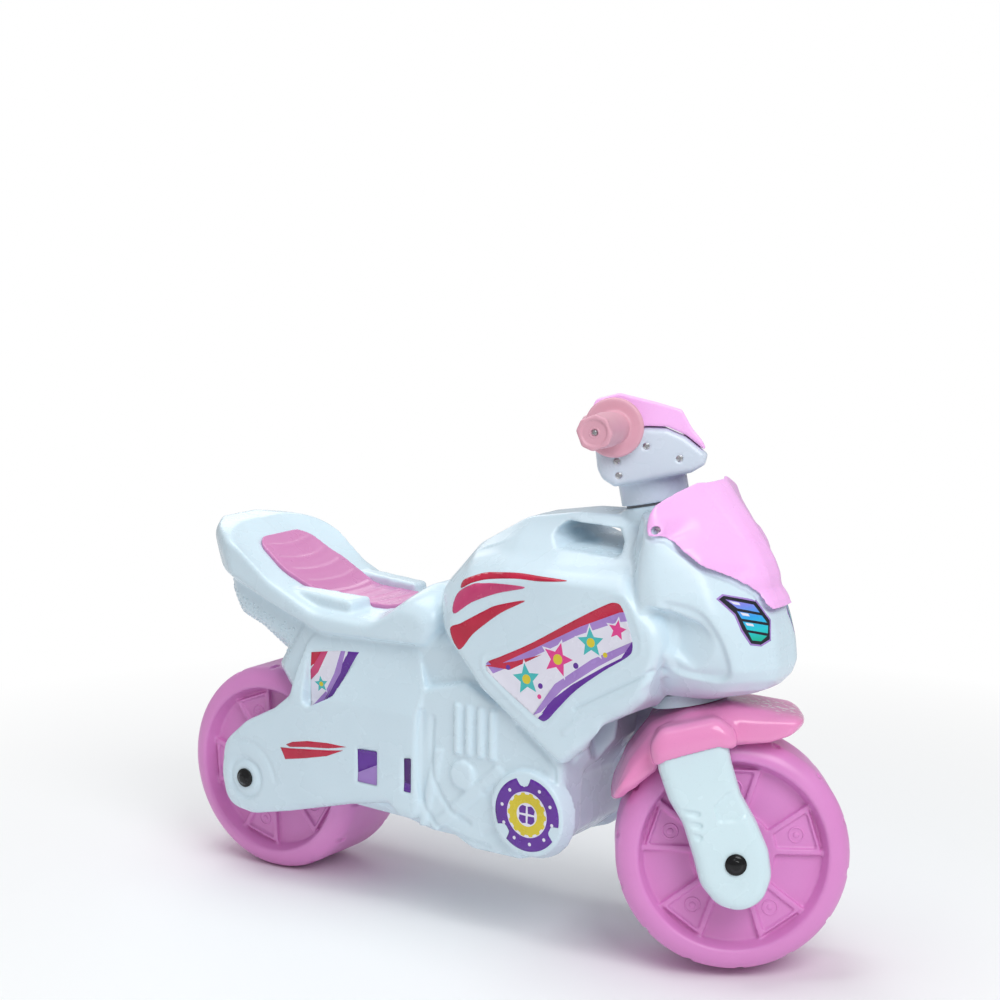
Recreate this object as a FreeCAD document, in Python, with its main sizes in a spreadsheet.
import FreeCAD, Part
import math
import os
from types import SimpleNamespace

import Sketcher
from FreeCAD import Placement, Rotation, Vector

# A child's push-along ride-on motorcycle. X points forward, Y to the left and Z up, in millimetres.
# The origin lies on the floor, under the middle of the whole toy. The steering rests turned to the left.

doc = FreeCAD.newDocument("ride_on_motorcycle")
sheet = doc.addObject("Spreadsheet::Sheet", "sizes")

SIZES = [
    # where things stand
    ("rear_axle_setback", 250.3, "from the origin back to the rear axle"),
    ("middle_shift", 21.1, "the toy's mid-plane lies this far left of the origin, as the bar is turned"),
    ("steer_reach", 485.0, "from the rear axle forward to the foot of the steering axis"),
    ("rake_angle", 12.5, "degrees, the steering axis leans back at its top"),
    ("steer_rest_angle", 32.0, "degrees to the left, as the toy was left standing"),
    ("fork_offset", 14.0, "the front axle lies this far ahead of the steering axis"),
    ("seat_gap", 0.3, "gap between pieces that move past each other or are only laid together"),
    ("running_gap", 0.05, "radial gap of a shaft in its bore"),
    ("overrun", 1.0, "how far one form runs into or past another that it is joined to or cut from"),
    # wheels
    ("wheel_radius", 104.0, "to the tread"),
    ("wheel_width", 100.0, "over both shoulders"),
    ("shoulder_radius", 18.0, "rounding from tread to sidewall"),
    ("rim_lip_radius", 84.0, "inner edge of the tyre ring"),
    ("rim_foot_radius", 79.0, "foot of the tyre ring, on the sunken face"),
    ("rim_fillet", 3.0, "rounding of the tyre ring's inner edges"),
    ("rim_face_inset", 15.0, "from the sidewall in to the sunken wheel face"),
    ("disc_radius", 37.0, "raised disc round the hub, as high as the spoke blocks"),
    ("hub_radius", 24.0, "raised hub of the wheel"),
    ("hub_inset", 2.0, "from the sidewall in to the hub's end"),
    ("block_inner_radius", 35.0, "raised spoke blocks begin here"),
    ("block_half_angle", 17.3, "degrees, half the angle that one block covers"),
    ("block_rise", 5.0, "spoke block above the wheel face"),
    ("block_border", 5.5, "flat rim round the recess in each block"),
    ("block_recess", 3.0, "depth of the recess in each block"),
    ("block_count", 5, "spoke blocks on each side of a wheel"),
    ("notch_length", 6.0, "tread notch round the wheel"),
    ("notch_reach", 4.0, "tread notch beyond the shoulder's rounding"),
    ("notch_depth", 2.5, "tread notch"),
    ("notch_count", 14, "tread notches on each shoulder"),
    ("front_wheel_rest", 7.0, "degrees, a front spoke block rests this far above straight ahead"),
    ("rear_wheel_rest", 40.0, "degrees, a rear spoke block rests this far above straight ahead"),
    ("wheel_side_gap", 4.0, "free space from a wheel's sidewall to the arm or leg"),
    # axles
    ("axle_radius", 5.0, "steel axle rod"),
    ("axle_overhang", 2.0, "axle rod beyond the arm or leg, inside its cap"),
    ("bush_wall", 3.0, "plain bushes"),
    ("bush_length", 22.0, "sleeve of a wheel bush"),
    ("bush_flange_radius", 13.0, "wheel bush flange"),
    ("bush_flange_length", 1.5, "wheel bush flange"),
    ("spacer_radius", 9.0, "ring between the wheel bush and the arm or leg"),
    ("cap_radius", 9.5, "black axle cap"),
    ("cap_height", 5.5, "black axle cap above the arm or leg"),
    ("cap_shoulder", 2.2, "straight edge of the cap below its dome"),
    ("cap_crown_radius", 4.0, "flat middle of the cap's dome"),
    # rear arms
    ("arm_thickness", 30.0, "rear arm or fork leg, from inner to outer face"),
    ("arm_edge", 8.0, "rounding of the outer edge of arms and engine sides"),
    ("arm_rear", 40.0, "arm's rear end behind the rear axle"),
    ("arm_floor", 60.0, "arm's lowest edge above the floor"),
    ("arm_length", 260.0, "arm along the toy"),
    ("arm_height", 210.0, "arm from its lowest edge to the seat"),
    ("arm_lean_floor", 200.0, "height above which the arm leans in"),
    ("arm_lean", 18.0, "how far the arm's top leans in"),
    ("arm_recess", 3.0, "sunken triangle between strut and engine"),
    ("ring_radius", 22.0, "sunken ring round the rear axle cap"),
    ("ring_width", 6.0, "sunken ring round the rear axle cap"),
    ("ring_depth", 2.0, "sunken ring round the rear axle cap"),
    ("window_depth", 2.5, "sunken windows between arm and engine"),
    # tank
    ("tank_rear", 205.0, "tank's rear end ahead of the rear axle"),
    ("tank_floor", 180.0, "tank's lowest tip above the floor"),
    ("tank_length", 270.0, "tank from its rear end into the head fairing"),
    ("tank_height", 230.0, "tank from its lowest tip to the carry handle"),
    ("tank_width", 176.0, "over both side panels"),
    ("slot_rear", 333.0, "rear end of the carry slot ahead of the rear axle"),
    ("slot_floor", 372.0, "lower lip of the carry slot above the floor"),
    ("slot_length", 76.0, "carry slot along the tank"),
    ("slot_height", 22.0, "carry slot, room for fingers"),
    ("slot_flare", 5.0, "how much the slot widens on its way out"),
    ("panel_recess", 1.2, "sunken field for the sticker on each tank side"),
    # seat and tail
    ("seat_tail", 90.0, "tail tip behind the rear axle"),
    ("seat_floor", 255.0, "underside of the seat above the floor"),
    ("seat_length", 330.0, "seat base from the tail tip to the tank"),
    ("seat_height", 105.0, "seat base from its underside to the tail's top"),
    ("seat_width", 154.0, "over the seat rim"),
    ("under_tail_reach", 66.0, "lower tail box behind the rear axle"),
    ("under_floor", 222.0, "lower tail box above the floor"),
    ("under_length", 190.0, "lower tail box along the toy"),
    ("under_height", 80.0, "lower tail box"),
    ("under_width", 126.0, "lower tail box across"),
    ("pad_rear", 24.0, "pink seat pad's rear end behind the rear axle"),
    ("pad_length", 206.0, "pink seat pad along the seat"),
    ("pad_width", 92.0, "pink seat pad across"),
    ("pad_sink", 3.0, "depth of the bed that the pad lies in"),
    ("pad_rise", 3.0, "pad above the seat's surface"),
    # engine
    ("core_rear", 20.0, "engine core's rear end ahead of the rear axle"),
    ("core_floor", 80.0, "belly above the floor"),
    ("core_length", 385.0, "engine core along the toy"),
    ("core_height", 205.0, "engine core"),
    ("core_width", 136.0, "engine core across"),
    ("core_edge", 22.0, "rounding of the belly's lower edges"),
    ("wheel_well_gap", 11.0, "from the tread to the wheel well"),
    ("engine_rear", 200.0, "engine side's rear end ahead of the rear axle"),
    ("engine_floor", 75.0, "engine side above the floor"),
    ("engine_length", 180.0, "engine side along the toy"),
    ("engine_height", 170.0, "engine side"),
    ("engine_width", 156.0, "over both engine sides"),
    ("clutch_ahead", 336.0, "clutch cover's middle ahead of the rear axle"),
    ("clutch_up", 129.0, "clutch cover's middle above the floor"),
    ("clutch_foot_radius", 45.0, "clutch cover at the engine side"),
    ("clutch_radius", 39.0, "clutch cover's face"),
    ("clutch_width", 170.0, "over both clutch covers"),
    ("fin_ahead", 252.0, "first cooling fin ahead of the rear axle"),
    ("fin_floor", 172.0, "cooling fins above the floor"),
    ("fin_pitch", 13.0, "from fin to fin"),
    ("fin_length", 6.0, "one fin along the toy"),
    ("fin_height", 46.0, "cooling fins"),
    ("fin_rise", 4.0, "fins above the engine side"),
    ("fin_count", 4, "cooling fins on each side"),
    ("pipe_rise", 2.4, "moulded pipes above the engine side"),
    ("boss_ahead", 261.0, "small round cover's middle ahead of the rear axle"),
    ("boss_up", 152.0, "small round cover's middle above the floor"),
    ("boss_radius", 13.0, "small round cover"),
    # head fairing and windshield
    ("head_floor", 250.0, "chin of the head fairing above the floor"),
    ("head_height", 160.0, "head fairing to the windshield's shoulder"),
    ("head_rear", 415.0, "head fairing's rear end ahead of the rear axle"),
    ("head_length", 142.0, "head fairing from its rear end to the nose"),
    ("head_width", 174.0, "over the cheeks"),
    ("head_top", 412.0, "top of the white fairing under the windshield"),
    ("scoop_depth", 22.0, "hollow under each cheek"),
    ("shield_wall", 3.0, "windshield"),
    ("shield_rear", 450.0, "windshield's side outline ahead of the rear axle"),
    ("shield_floor", 325.0, "windshield's side outline above the floor"),
    ("shield_length", 110.0, "windshield's side outline"),
    ("shield_height", 125.0, "windshield's side outline"),
    # neck and steering tube, measured along the steering axis from its foot
    ("neck_radius", 31.0, "neck and handlebar column"),
    ("neck_bottom", 148.0, "lower end of the neck"),
    ("neck_top", 316.0, "upper end of the neck"),
    ("stem_radius", 14.0, "steering tube"),
    ("stem_wall", 2.0, "steering tube"),
    ("stem_top", 372.0, "upper end of the steering tube"),
    ("neck_bush_length", 20.0, "sleeve of a neck bush"),
    ("neck_bush_flange_radius", 27.0, "flange of a neck bush"),
    ("neck_bush_flange_length", 2.0, "flange of a neck bush"),
    ("swing_radius", 97.0, "free space round the steering axis for crown and fender"),
    ("swing_bottom", 50.0, "lower end of that free space"),
    ("swing_top", 139.5, "upper end of that free space"),
    ("swing_front_radius", 150.0, "free space ahead, under the chin"),
    ("swing_rear_radius", 76.0, "free space behind, for the fender's tail"),
    ("swing_half_angle", 65.0, "degrees from straight ahead to the side spaces"),
    ("swing_side_angle", 100.0, "degrees that each side space covers"),
    # fork, collar and fender
    ("leg_rear", 40.0, "fork leg's side outline behind the axis"),
    ("leg_drop", 46.0, "fork leg below the axle's height"),
    ("leg_length", 86.0, "fork leg's side outline along"),
    ("leg_height", 168.0, "fork leg from its end to the crown's top"),
    ("leg_edge", 10.0, "rounding of the leg's outer edge"),
    ("groove_depth", 2.0, "grooves and hollow in the leg's outer face"),
    ("crown_rear", 34.0, "fork crown behind the steering axis"),
    ("crown_bottom", 109.0, "fork crown's underside"),
    ("crown_length", 62.0, "fork crown"),
    ("crown_height", 13.0, "fork crown"),
    ("stem_socket_floor", 1.0, "crown left under the steering tube"),
    ("collar_bottom", 135.3, "white collar's lower end"),
    ("collar_foot_radius", 35.0, "white collar at its lower end"),
    ("collar_radius", 32.5, "white collar at its upper end"),
    ("collar_height", 10.4, "white collar"),
    ("fender_rear", 90.0, "fender's tail behind the steering axis"),
    ("fender_bottom", 55.0, "fender's tail tip along the axis"),
    ("fender_length", 194.0, "fender from tail to front lip"),
    ("fender_height", 80.0, "fender from tail tip to top"),
    ("fender_width", 126.0, "fender without its shoulders"),
    ("fender_wheel_gap", 5.0, "from the tread to the fender"),
    ("shoulder_rear", 44.0, "fender shoulder behind the steering axis"),
    ("shoulder_bottom", 92.0, "fender shoulder's lower edge"),
    ("shoulder_length", 80.0, "fender shoulder"),
    ("shoulder_height", 37.0, "fender shoulder"),
    ("shoulder_reach", 88.0, "fender shoulder out from the middle"),
    ("shoulder_edge", 11.0, "rounding of the fender shoulder's outer edge"),
    # handlebar
    ("bar_height", 390.5, "handlebar tube along the steering axis"),
    ("bar_rear", 16.2, "handlebar tube's middle behind the steering axis"),
    ("bar_sweep", 10.2, "degrees, each half is swept back"),
    ("bar_bend_radius", 60.0, "bend in the middle of the handlebar tube"),
    ("bar_radius", 9.5, "handlebar tube"),
    ("bar_wall", 1.5, "handlebar tube"),
    ("bar_half_length", 148.0, "handlebar tube, each half"),
    ("bar_head_rear", 48.0, "handlebar head's outline behind the steering axis"),
    ("bar_head_bottom", 338.0, "handlebar head's underside"),
    ("bar_head_length", 102.0, "handlebar head's outline"),
    ("bar_head_height", 84.0, "handlebar head and dash cover"),
    ("bar_head_half_width", 48.0, "handlebar head, from the middle to its side"),
    ("bar_head_edge", 6.0, "rounding of the handlebar head's side edges"),
    ("dash_edge", 1.5, "rounding of the dash cover's side edges"),
    ("column_bottom", 318.3, "lower end of the handlebar column"),
    ("grip_start", 55.5, "grip's inner face along the bar"),
    ("guard_radius", 26.5, "round hand guard on the grip"),
    ("guard_length", 6.0, "hand guard"),
    ("guard_fillet", 2.5, "hand guard's edges"),
    ("grip_radius", 14.2, "grip barrel at its ends"),
    ("grip_belly_radius", 15.4, "grip barrel in the middle"),
    ("grip_length", 94.0, "grip from guard to end block"),
    ("grip_end_half", 14.0, "half the width of the grip's eight-sided end"),
    ("grip_end_corner", 7.0, "cut corner of the grip's eight-sided end"),
    ("grip_end_length", 8.0, "grip's end block"),
    ("grip_hole_radius", 3.4, "screw hole in the grip's end"),
    ("grip_hole_depth", 4.0, "screw hole in the grip's end"),
    # screws
    ("screw_head_radius", 3.2, "self-tapping screw's head"),
    ("screw_head_height", 2.0, "self-tapping screw's head"),
    ("screw_shank_radius", 1.6, "self-tapping screw's shank"),
    ("screw_length", 12.0, "self-tapping screw below its head"),
    ("screw_way", 14.0, "depth up to which the way to a screw's head stays open"),
    ("shield_screw_ahead", 461.0, "windshield screw ahead of the rear axle"),
    ("shield_screw_up", 404.5, "windshield screw above the floor"),
    ("shield_screw_out", 74.0, "windshield screw's head from the middle"),
    ("fender_screw_out", 36.0, "fender screw from the middle"),
    ("fender_screw_grip", 5.0, "crown left under a fender screw's head"),
    ("screw_slot_width", 0.9, "cross slot in the screw's head"),
    ("screw_slot_depth", 1.0, "cross slot in the screw's head"),
    ("washer_radius", 17.0, "washer under the steering bolt's head"),
    ("washer_height", 2.5, "washer under the steering bolt's head"),
    ("bolt_hex_radius", 6.5, "steering bolt's hexagon over its corners"),
    ("bolt_hex_height", 4.0, "steering bolt's hexagon"),
    ("bolt_radius", 4.0, "steering bolt's shank"),
    ("bolt_length", 18.0, "steering bolt's shank"),
    ("stem_plug", 16.0, "solid upper end of the steering tube, tapped for the bolt"),
]


def fill_sheet():
    """Writes every size into the sheet: name, value and what it is, with the name as the cell's alias."""
    for row, (alias, value, note) in enumerate(SIZES, start=1):
        sheet.set(f"A{row}", alias)
        sheet.set(f"B{row}", str(value))
        sheet.set(f"C{row}", note)
        sheet.setAlias(f"B{row}", alias)
    doc.recompute()
    return SimpleNamespace(**{alias: float(sheet.get(alias)) for alias, value, note in SIZES})


dim = fill_sheet()
NODES = []

# Shared places

ALONG_Y = Rotation(Vector(1, 0, 0), -90)
CHASSIS = Placement(Vector(-dim.rear_axle_setback, dim.middle_shift, 0), Rotation())
REAR_WHEEL = CHASSIS * Placement(Vector(0, 0, dim.wheel_radius), ALONG_Y)


def leaning_wheel_height():
    """Height of a wheel's centre when it stands on its shoulder, leaned by rake and turned steering."""
    lean = math.asin(math.sin(math.radians(dim.rake_angle)) * math.sin(math.radians(dim.steer_rest_angle)))
    flat = dim.wheel_radius - dim.shoulder_radius
    side = dim.wheel_width / 2 - dim.shoulder_radius
    return flat * math.cos(lean) + side * math.sin(lean) + dim.shoulder_radius


def steering_foot():
    """The point of the steering axis level with the front axle."""
    rake, turn = math.radians(dim.rake_angle), math.radians(dim.steer_rest_angle)
    drop = dim.fork_offset * math.cos(turn) * math.sin(rake)
    return Vector(dim.steer_reach - dim.rear_axle_setback, dim.middle_shift, leaning_wheel_height() - drop)


RAKED = Placement(steering_foot(), Rotation(Vector(0, 1, 0), -dim.rake_angle))
TURNED = RAKED * Placement(Vector(0, 0, 0), Rotation(Vector(0, 0, 1), dim.steer_rest_angle))
FRONT_WHEEL = TURNED * Placement(Vector(dim.fork_offset, 0, 0), ALONG_Y)
IN_CHASSIS = CHASSIS.inverse() * RAKED


# Free forms: outlines and the solids between them

def inset_corners(corners, inset):
    """The corners of a closed outline moved inward by the inset, each edge staying parallel to itself."""
    count = len(corners)
    area = sum(a[0] * b[1] - b[0] * a[1] for a, b in zip(corners, corners[1:] + corners[:1]))
    side = 1 if area > 0 else -1
    lines = []
    for (x0, z0), (x1, z1) in zip(corners, corners[1:] + corners[:1]):
        length = math.hypot(x1 - x0, z1 - z0)
        nx, nz = -side * (z1 - z0) / length, side * (x1 - x0) / length
        lines.append((nx, nz, nx * x0 + nz * z0 + inset))
    moved = []
    for i in range(count):
        (a, b, c), (d, e, f) = lines[i - 1], lines[i]
        across = a * e - b * d
        moved.append(((c * e - b * f) / across, (a * f - c * d) / across))
    return moved


def rounded_wire(points, radii):
    """A closed flat wire through the corner points, each corner rounded by a tangent arc."""
    count = len(points)
    arcs = []
    for i, corner in enumerate(points):
        before = points[i - 1] - corner
        after = points[(i + 1) % count] - corner
        half = before.getAngle(after) / 2
        radius = min(radii[i], 0.49 * math.tan(half) * min(before.Length, after.Length))
        setback = radius / math.tan(half)
        before.normalize()
        after.normalize()
        inward = before + after
        inward.normalize()
        middle = corner + inward * (radius / math.sin(half) - radius)
        arcs.append((corner + before * setback, middle, corner + after * setback))
    edges = []
    for i, arc in enumerate(arcs):
        edges.append(Part.Arc(*arc).toShape())
        edges.append(Part.LineSegment(arc[2], arcs[(i + 1) % count][0]).toShape())
    return Part.Wire(edges)


def side_wire(shares, box, across, inset=0.0):
    """A rounded side outline at one distance across. Corners are shares of the box's length and height."""
    left, floor, length, height = box
    corners = [(left + x * length, floor + z * height) for x, z, r in shares]
    if inset:
        corners = inset_corners(corners, inset)
    return rounded_wire([Vector(x, across, z) for x, z in corners], [r * height for x, z, r in shares])


def straight_stack(wires):
    return Part.makeLoft(wires, True, True)


def eased(rows, steps):
    """Rows of numbers with steps in between, so that every column runs on in a smooth curve."""
    full = []
    last = len(rows) - 1
    for i in range(last):
        around = rows[max(i - 1, 0)], rows[i], rows[i + 1], rows[min(i + 2, last)]
        for step in range(steps):
            t = step / steps
            full.append([
                b + (c - a) * t / 2 + (2 * a - 5 * b + 4 * c - d) * t ** 2 / 2
                + (3 * (b - c) + d - a) * t ** 3 / 2
                for a, b, c, d in zip(*around)
            ])
    return full + [list(rows[last])]


def eased_form(form, steps):
    """An outline form of (position, corner tuples) pairs with eased steps in between."""
    width = len(form[0][1][0])
    rows = [[position] + [value for corner in shares for value in corner] for position, shares in form]
    rows = eased(rows, steps)
    return [(row[0], [tuple(row[i:i + width]) for i in range(1, len(row), width)]) for row in rows]


EASE_STEPS = 2
EDGE_ANGLES = (0, 35, 65, 90)


def mirrored_stack(form, box, width):
    """A solid symmetrical about the mid-plane, through (share of the half width, outline shares) pairs."""
    form = eased_form(form, EASE_STEPS)
    right = [side_wire(shares, box, -out * width / 2) for out, shares in reversed(form)]
    left = [side_wire(shares, box, out * width / 2) for out, shares in form]
    return straight_stack(right + left)


def edge_steps(inner, outer, edge):
    """Distances across and insets that round the outer edge of a slab in three steps."""
    steps = [(inner, 0.0)]
    for angle in EDGE_ANGLES:
        turn = math.radians(angle)
        steps.append((outer - edge + edge * math.sin(turn), edge * (1 - math.cos(turn))))
    return steps


def slab(shares, box, inner, outer, edge, side, grow=0.0):
    """A slab on one side, its outer face rounded at the rim. side is 1 for left and -1 for right."""
    steps = edge_steps(inner, outer, edge)
    return straight_stack([side_wire(shares, box, side * across, inset - grow) for across, inset in steps])


def plain_prism(shares, box, y_from, y_to, inset=0.0):
    """An outline drawn straight across from one distance to another."""
    return Part.Face(side_wire(shares, box, y_from, inset)).extrude(Vector(0, y_to - y_from, 0))


def cylinder_across(radius, x, z, y_from, y_to):
    return Part.makeCylinder(radius, y_to - y_from, Vector(x, y_from, z), Vector(0, 1, 0))


def mirrored(shape):
    return shape.mirror(Vector(0, 0, 0), Vector(0, 1, 0))


def placed(shape, place):
    moved = shape.copy()
    moved.Placement = place * moved.Placement
    return moved


# Screws: each lies with its head's underside at its place and its shank along the place's -Z

def screw_hole(place):
    """A hole that clears one screw, and its head's way out."""
    shank = Part.makeCylinder(
        dim.screw_shank_radius + dim.running_gap, dim.screw_length + dim.seat_gap + dim.overrun,
        Vector(0, 0, -dim.screw_length - dim.seat_gap),
    )
    head = Part.makeCylinder(dim.screw_head_radius + dim.seat_gap, dim.screw_way)
    return placed(shank.fuse(head), place)


def across_place(x, z, across):
    """A place on a side face, its Z pointing outward."""
    way = 1 if across > 0 else -1
    return Placement(Vector(x, across, z), Rotation(Vector(0, 0, 1), Vector(0, way, 0)))


def shield_screw_places():
    ahead, up, out = dim.shield_screw_ahead, dim.shield_screw_up, dim.shield_screw_out
    return [across_place(ahead, up, side * out) for side in (1, -1)]


def handlebar_screw_places():
    out = dim.screw_head_height - dim.bar_head_half_width
    return [across_place(
        x * dim.bar_head_length - dim.bar_head_rear, dim.bar_head_bottom + z * dim.bar_head_height, out,
    ) for x, z in HEAD_SCREW_SHARES]


def fender_screw_places():
    up = dim.crown_bottom + dim.crown_height - dim.fender_screw_grip
    down = Rotation(Vector(1, 0, 0), 180)
    return [Placement(Vector(0, side * dim.fender_screw_out, up), down) for side in (1, -1)]


HEAD_SCREW_SHARES = [(0.456, 0.375), (0.186, 0.27), (0.18, 0.12), (0.72, 0.19)]


# Main body: tank, seat, lower tail, engine, head fairing, neck and rear arms in one moulding

TANK_CROWN_SHARES = [
    (0.01, 0.62, 0.06), (0.14, 0.79, 0.11), (0.33, 0.92, 0.17), (0.52, 0.96, 0.26), (0.83, 0.98, 0.04),
    (0.98, 0.65, 0.13), (0.91, 0.26, 0.09), (0.62, 0.04, 0.07), (0.31, 0.25, 0.09), (0.04, 0.46, 0.09),
]
TANK_EDGE_SHARES = [
    (0.06, 0.60, 0.08), (0.19, 0.76, 0.11), (0.36, 0.81, 0.13), (0.54, 0.83, 0.17), (0.83, 0.84, 0.04),
    (0.99, 0.61, 0.13), (0.92, 0.30, 0.09), (0.62, 0.02, 0.05), (0.29, 0.25, 0.09), (0.08, 0.46, 0.09),
]
TANK_SIDE_SHARES = [
    (0.13, 0.56, 0.08), (0.23, 0.69, 0.10), (0.37, 0.75, 0.13), (0.54, 0.77, 0.17), (0.84, 0.77, 0.05),
    (1.00, 0.57, 0.13), (0.93, 0.32, 0.07), (0.62, 0.00, 0.04), (0.29, 0.25, 0.07), (0.13, 0.46, 0.08),
]
TANK_PANEL_SHARES = [
    (0.18, 0.54, 0.07), (0.26, 0.65, 0.09), (0.37, 0.71, 0.11), (0.54, 0.73, 0.13), (0.85, 0.73, 0.06),
    (0.97, 0.54, 0.11), (0.91, 0.34, 0.07), (0.62, 0.03, 0.04), (0.31, 0.27, 0.07), (0.17, 0.46, 0.07),
]
TANK_FORM_SHARES = [
    (0.27, TANK_CROWN_SHARES), (0.66, TANK_EDGE_SHARES), (0.91, TANK_SIDE_SHARES), (1.0, TANK_PANEL_SHARES),
]
TANK_FIELD_SHARES = [
    (0.33, 0.37, 0.04), (0.33, 0.34, 0.04), (0.56, 0.20, 0.05), (0.62, 0.25, 0.03), (0.88, 0.49, 0.05),
    (0.89, 0.57, 0.05), (0.83, 0.70, 0.05), (0.80, 0.68, 0.03),
]
TANK_BOX = (dim.tank_rear, dim.tank_floor, dim.tank_length, dim.tank_height)

SLOT_SHARES = [
    (0.00, 0.55, 0.3), (0.12, 0.98, 0.3), (0.86, 0.94, 0.3), (1.00, 0.50, 0.2), (1.02, 0.06, 0.2),
    (0.18, 0.10, 0.3),
]
SLOT_REACH_SHARES = (0.3, 1.1)
SLOT_BOX = (dim.slot_rear, dim.slot_floor, dim.slot_length, dim.slot_height)


def tank():
    """The tank: its narrow crown is the carry handle, its flanks spread to flat side panels."""
    form = mirrored_stack(TANK_FORM_SHARES, TANK_BOX, dim.tank_width)
    face = dim.tank_width / 2
    field = plain_prism(TANK_FIELD_SHARES, TANK_BOX, face - dim.panel_recess, face + dim.panel_recess)
    inner, outer = [share * face for share in SLOT_REACH_SHARES]
    slot = straight_stack([
        side_wire(SLOT_SHARES, SLOT_BOX, -outer, -dim.slot_flare),
        side_wire(SLOT_SHARES, SLOT_BOX, -inner),
        side_wire(SLOT_SHARES, SLOT_BOX, inner),
        side_wire(SLOT_SHARES, SLOT_BOX, outer, -dim.slot_flare),
    ])
    return form.cut([field, mirrored(field), slot])


SEAT_MIDDLE_SHARES = [
    (0.00, 0.79, 0.08), (0.03, 0.94, 0.09), (0.12, 0.92, 0.19), (0.30, 0.58, 0.48), (0.48, 0.31, 0.48),
    (0.73, 0.30, 0.38), (0.89, 0.67, 0.29), (0.98, 0.43, 0.19), (0.92, 0.07, 0.10), (0.52, 0.00, 0.24),
    (0.30, 0.29, 0.29), (0.05, 0.50, 0.13),
]
SEAT_INNER_SHARES = [
    (0.04, 0.79, 0.08), (0.07, 0.91, 0.08), (0.15, 0.89, 0.19), (0.32, 0.54, 0.48), (0.50, 0.29, 0.48),
    (0.73, 0.27, 0.38), (0.88, 0.60, 0.29), (0.98, 0.39, 0.19), (0.92, 0.09, 0.10), (0.53, 0.03, 0.24),
    (0.32, 0.28, 0.29), (0.09, 0.51, 0.13),
]
SEAT_OUTER_SHARES = [
    (0.11, 0.75, 0.08), (0.13, 0.87, 0.08), (0.19, 0.83, 0.17), (0.34, 0.50, 0.43), (0.51, 0.26, 0.43),
    (0.73, 0.24, 0.38), (0.87, 0.52, 0.29), (0.96, 0.35, 0.19), (0.92, 0.10, 0.10), (0.54, 0.06, 0.21),
    (0.34, 0.28, 0.29), (0.16, 0.50, 0.11),
]
SEAT_RIM_SHARES = [
    (0.17, 0.70, 0.07), (0.19, 0.79, 0.08), (0.25, 0.73, 0.15), (0.36, 0.45, 0.38), (0.52, 0.21, 0.38),
    (0.72, 0.20, 0.33), (0.85, 0.41, 0.24), (0.93, 0.30, 0.15), (0.89, 0.13, 0.10), (0.55, 0.09, 0.17),
    (0.36, 0.28, 0.24), (0.21, 0.50, 0.10),
]
SEAT_FORM_SHARES = [
    (0.45, SEAT_MIDDLE_SHARES), (0.75, SEAT_INNER_SHARES), (0.92, SEAT_OUTER_SHARES), (1.0, SEAT_RIM_SHARES),
]
SEAT_BOX = (-dim.seat_tail, dim.seat_floor, dim.seat_length, dim.seat_height)


def seat_base():
    """The seat, from the kicked-up tail down to the saddle and up to the tank."""
    return mirrored_stack(SEAT_FORM_SHARES, SEAT_BOX, dim.seat_width)


PAD_SHARES = [(0.00, 0.80, 0.4), (0.22, 1.00, 0.8), (0.78, 0.75, 0.8), (1.00, 0.55, 0.5)]


def pad_column(gap):
    """The pad's plan outline drawn up through the seat, smaller by the gap."""
    half = dim.pad_width / 2
    left = [(x * dim.pad_length - dim.pad_rear, y * half) for x, y, r in PAD_SHARES]
    radii = [r * half for x, y, r in PAD_SHARES]
    corners = left + [(x, -y) for x, y in reversed(left)]
    corners = inset_corners(corners, gap) if gap else corners
    wire = rounded_wire([Vector(x, y, dim.seat_floor) for x, y in corners], radii + radii[::-1])
    return Part.Face(wire).extrude(Vector(0, 0, 2 * dim.seat_height))


def seat_pad(seat):
    """The pink pad follows the seat's surface, from its bed to a little above."""
    bed, top = seat.copy(), seat.copy()
    bed.translate(Vector(0, 0, dim.seat_gap - dim.pad_sink))
    top.translate(Vector(0, 0, dim.pad_rise))
    return top.common(pad_column(dim.seat_gap)).cut(bed)


UNDER_SHARES = [
    (0.01, 0.97, 0.05), (0.01, 0.75, 0.12), (0.07, 0.50, 0.12), (0.23, 0.35, 0.17), (0.43, 0.07, 0.17),
    (0.73, 0.03, 0.12), (0.99, 0.12, 0.12), (0.99, 0.93, 0.05), (0.52, 0.97, 0.12),
]
UNDER_SIDE_SHARES = [
    (0.19, 1.00, 0.05), (0.20, 0.82, 0.12), (0.29, 0.57, 0.12), (0.44, 0.46, 0.17), (0.60, 0.22, 0.17),
    (0.76, 0.12, 0.12), (0.96, 0.15, 0.12), (0.96, 0.90, 0.05), (0.56, 0.97, 0.12),
]
UNDER_HAUNCH_SHARES = [
    (0.10, 0.98, 0.05), (0.11, 0.78, 0.12), (0.18, 0.53, 0.12), (0.33, 0.40, 0.17), (0.51, 0.14, 0.17),
    (0.74, 0.07, 0.12), (0.98, 0.13, 0.12), (0.98, 0.92, 0.05), (0.54, 0.97, 0.12),
]
UNDER_FORM_SHARES = [(0.4, UNDER_SHARES), (0.8, UNDER_HAUNCH_SHARES), (1.0, UNDER_SIDE_SHARES)]
UNDER_BOX = (-dim.under_tail_reach, dim.under_floor, dim.under_length, dim.under_height)


def lower_tail():
    """The narrower box under the tail, which carries the seat down to the rear arms."""
    return mirrored_stack(UNDER_FORM_SHARES, UNDER_BOX, dim.under_width)


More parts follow.
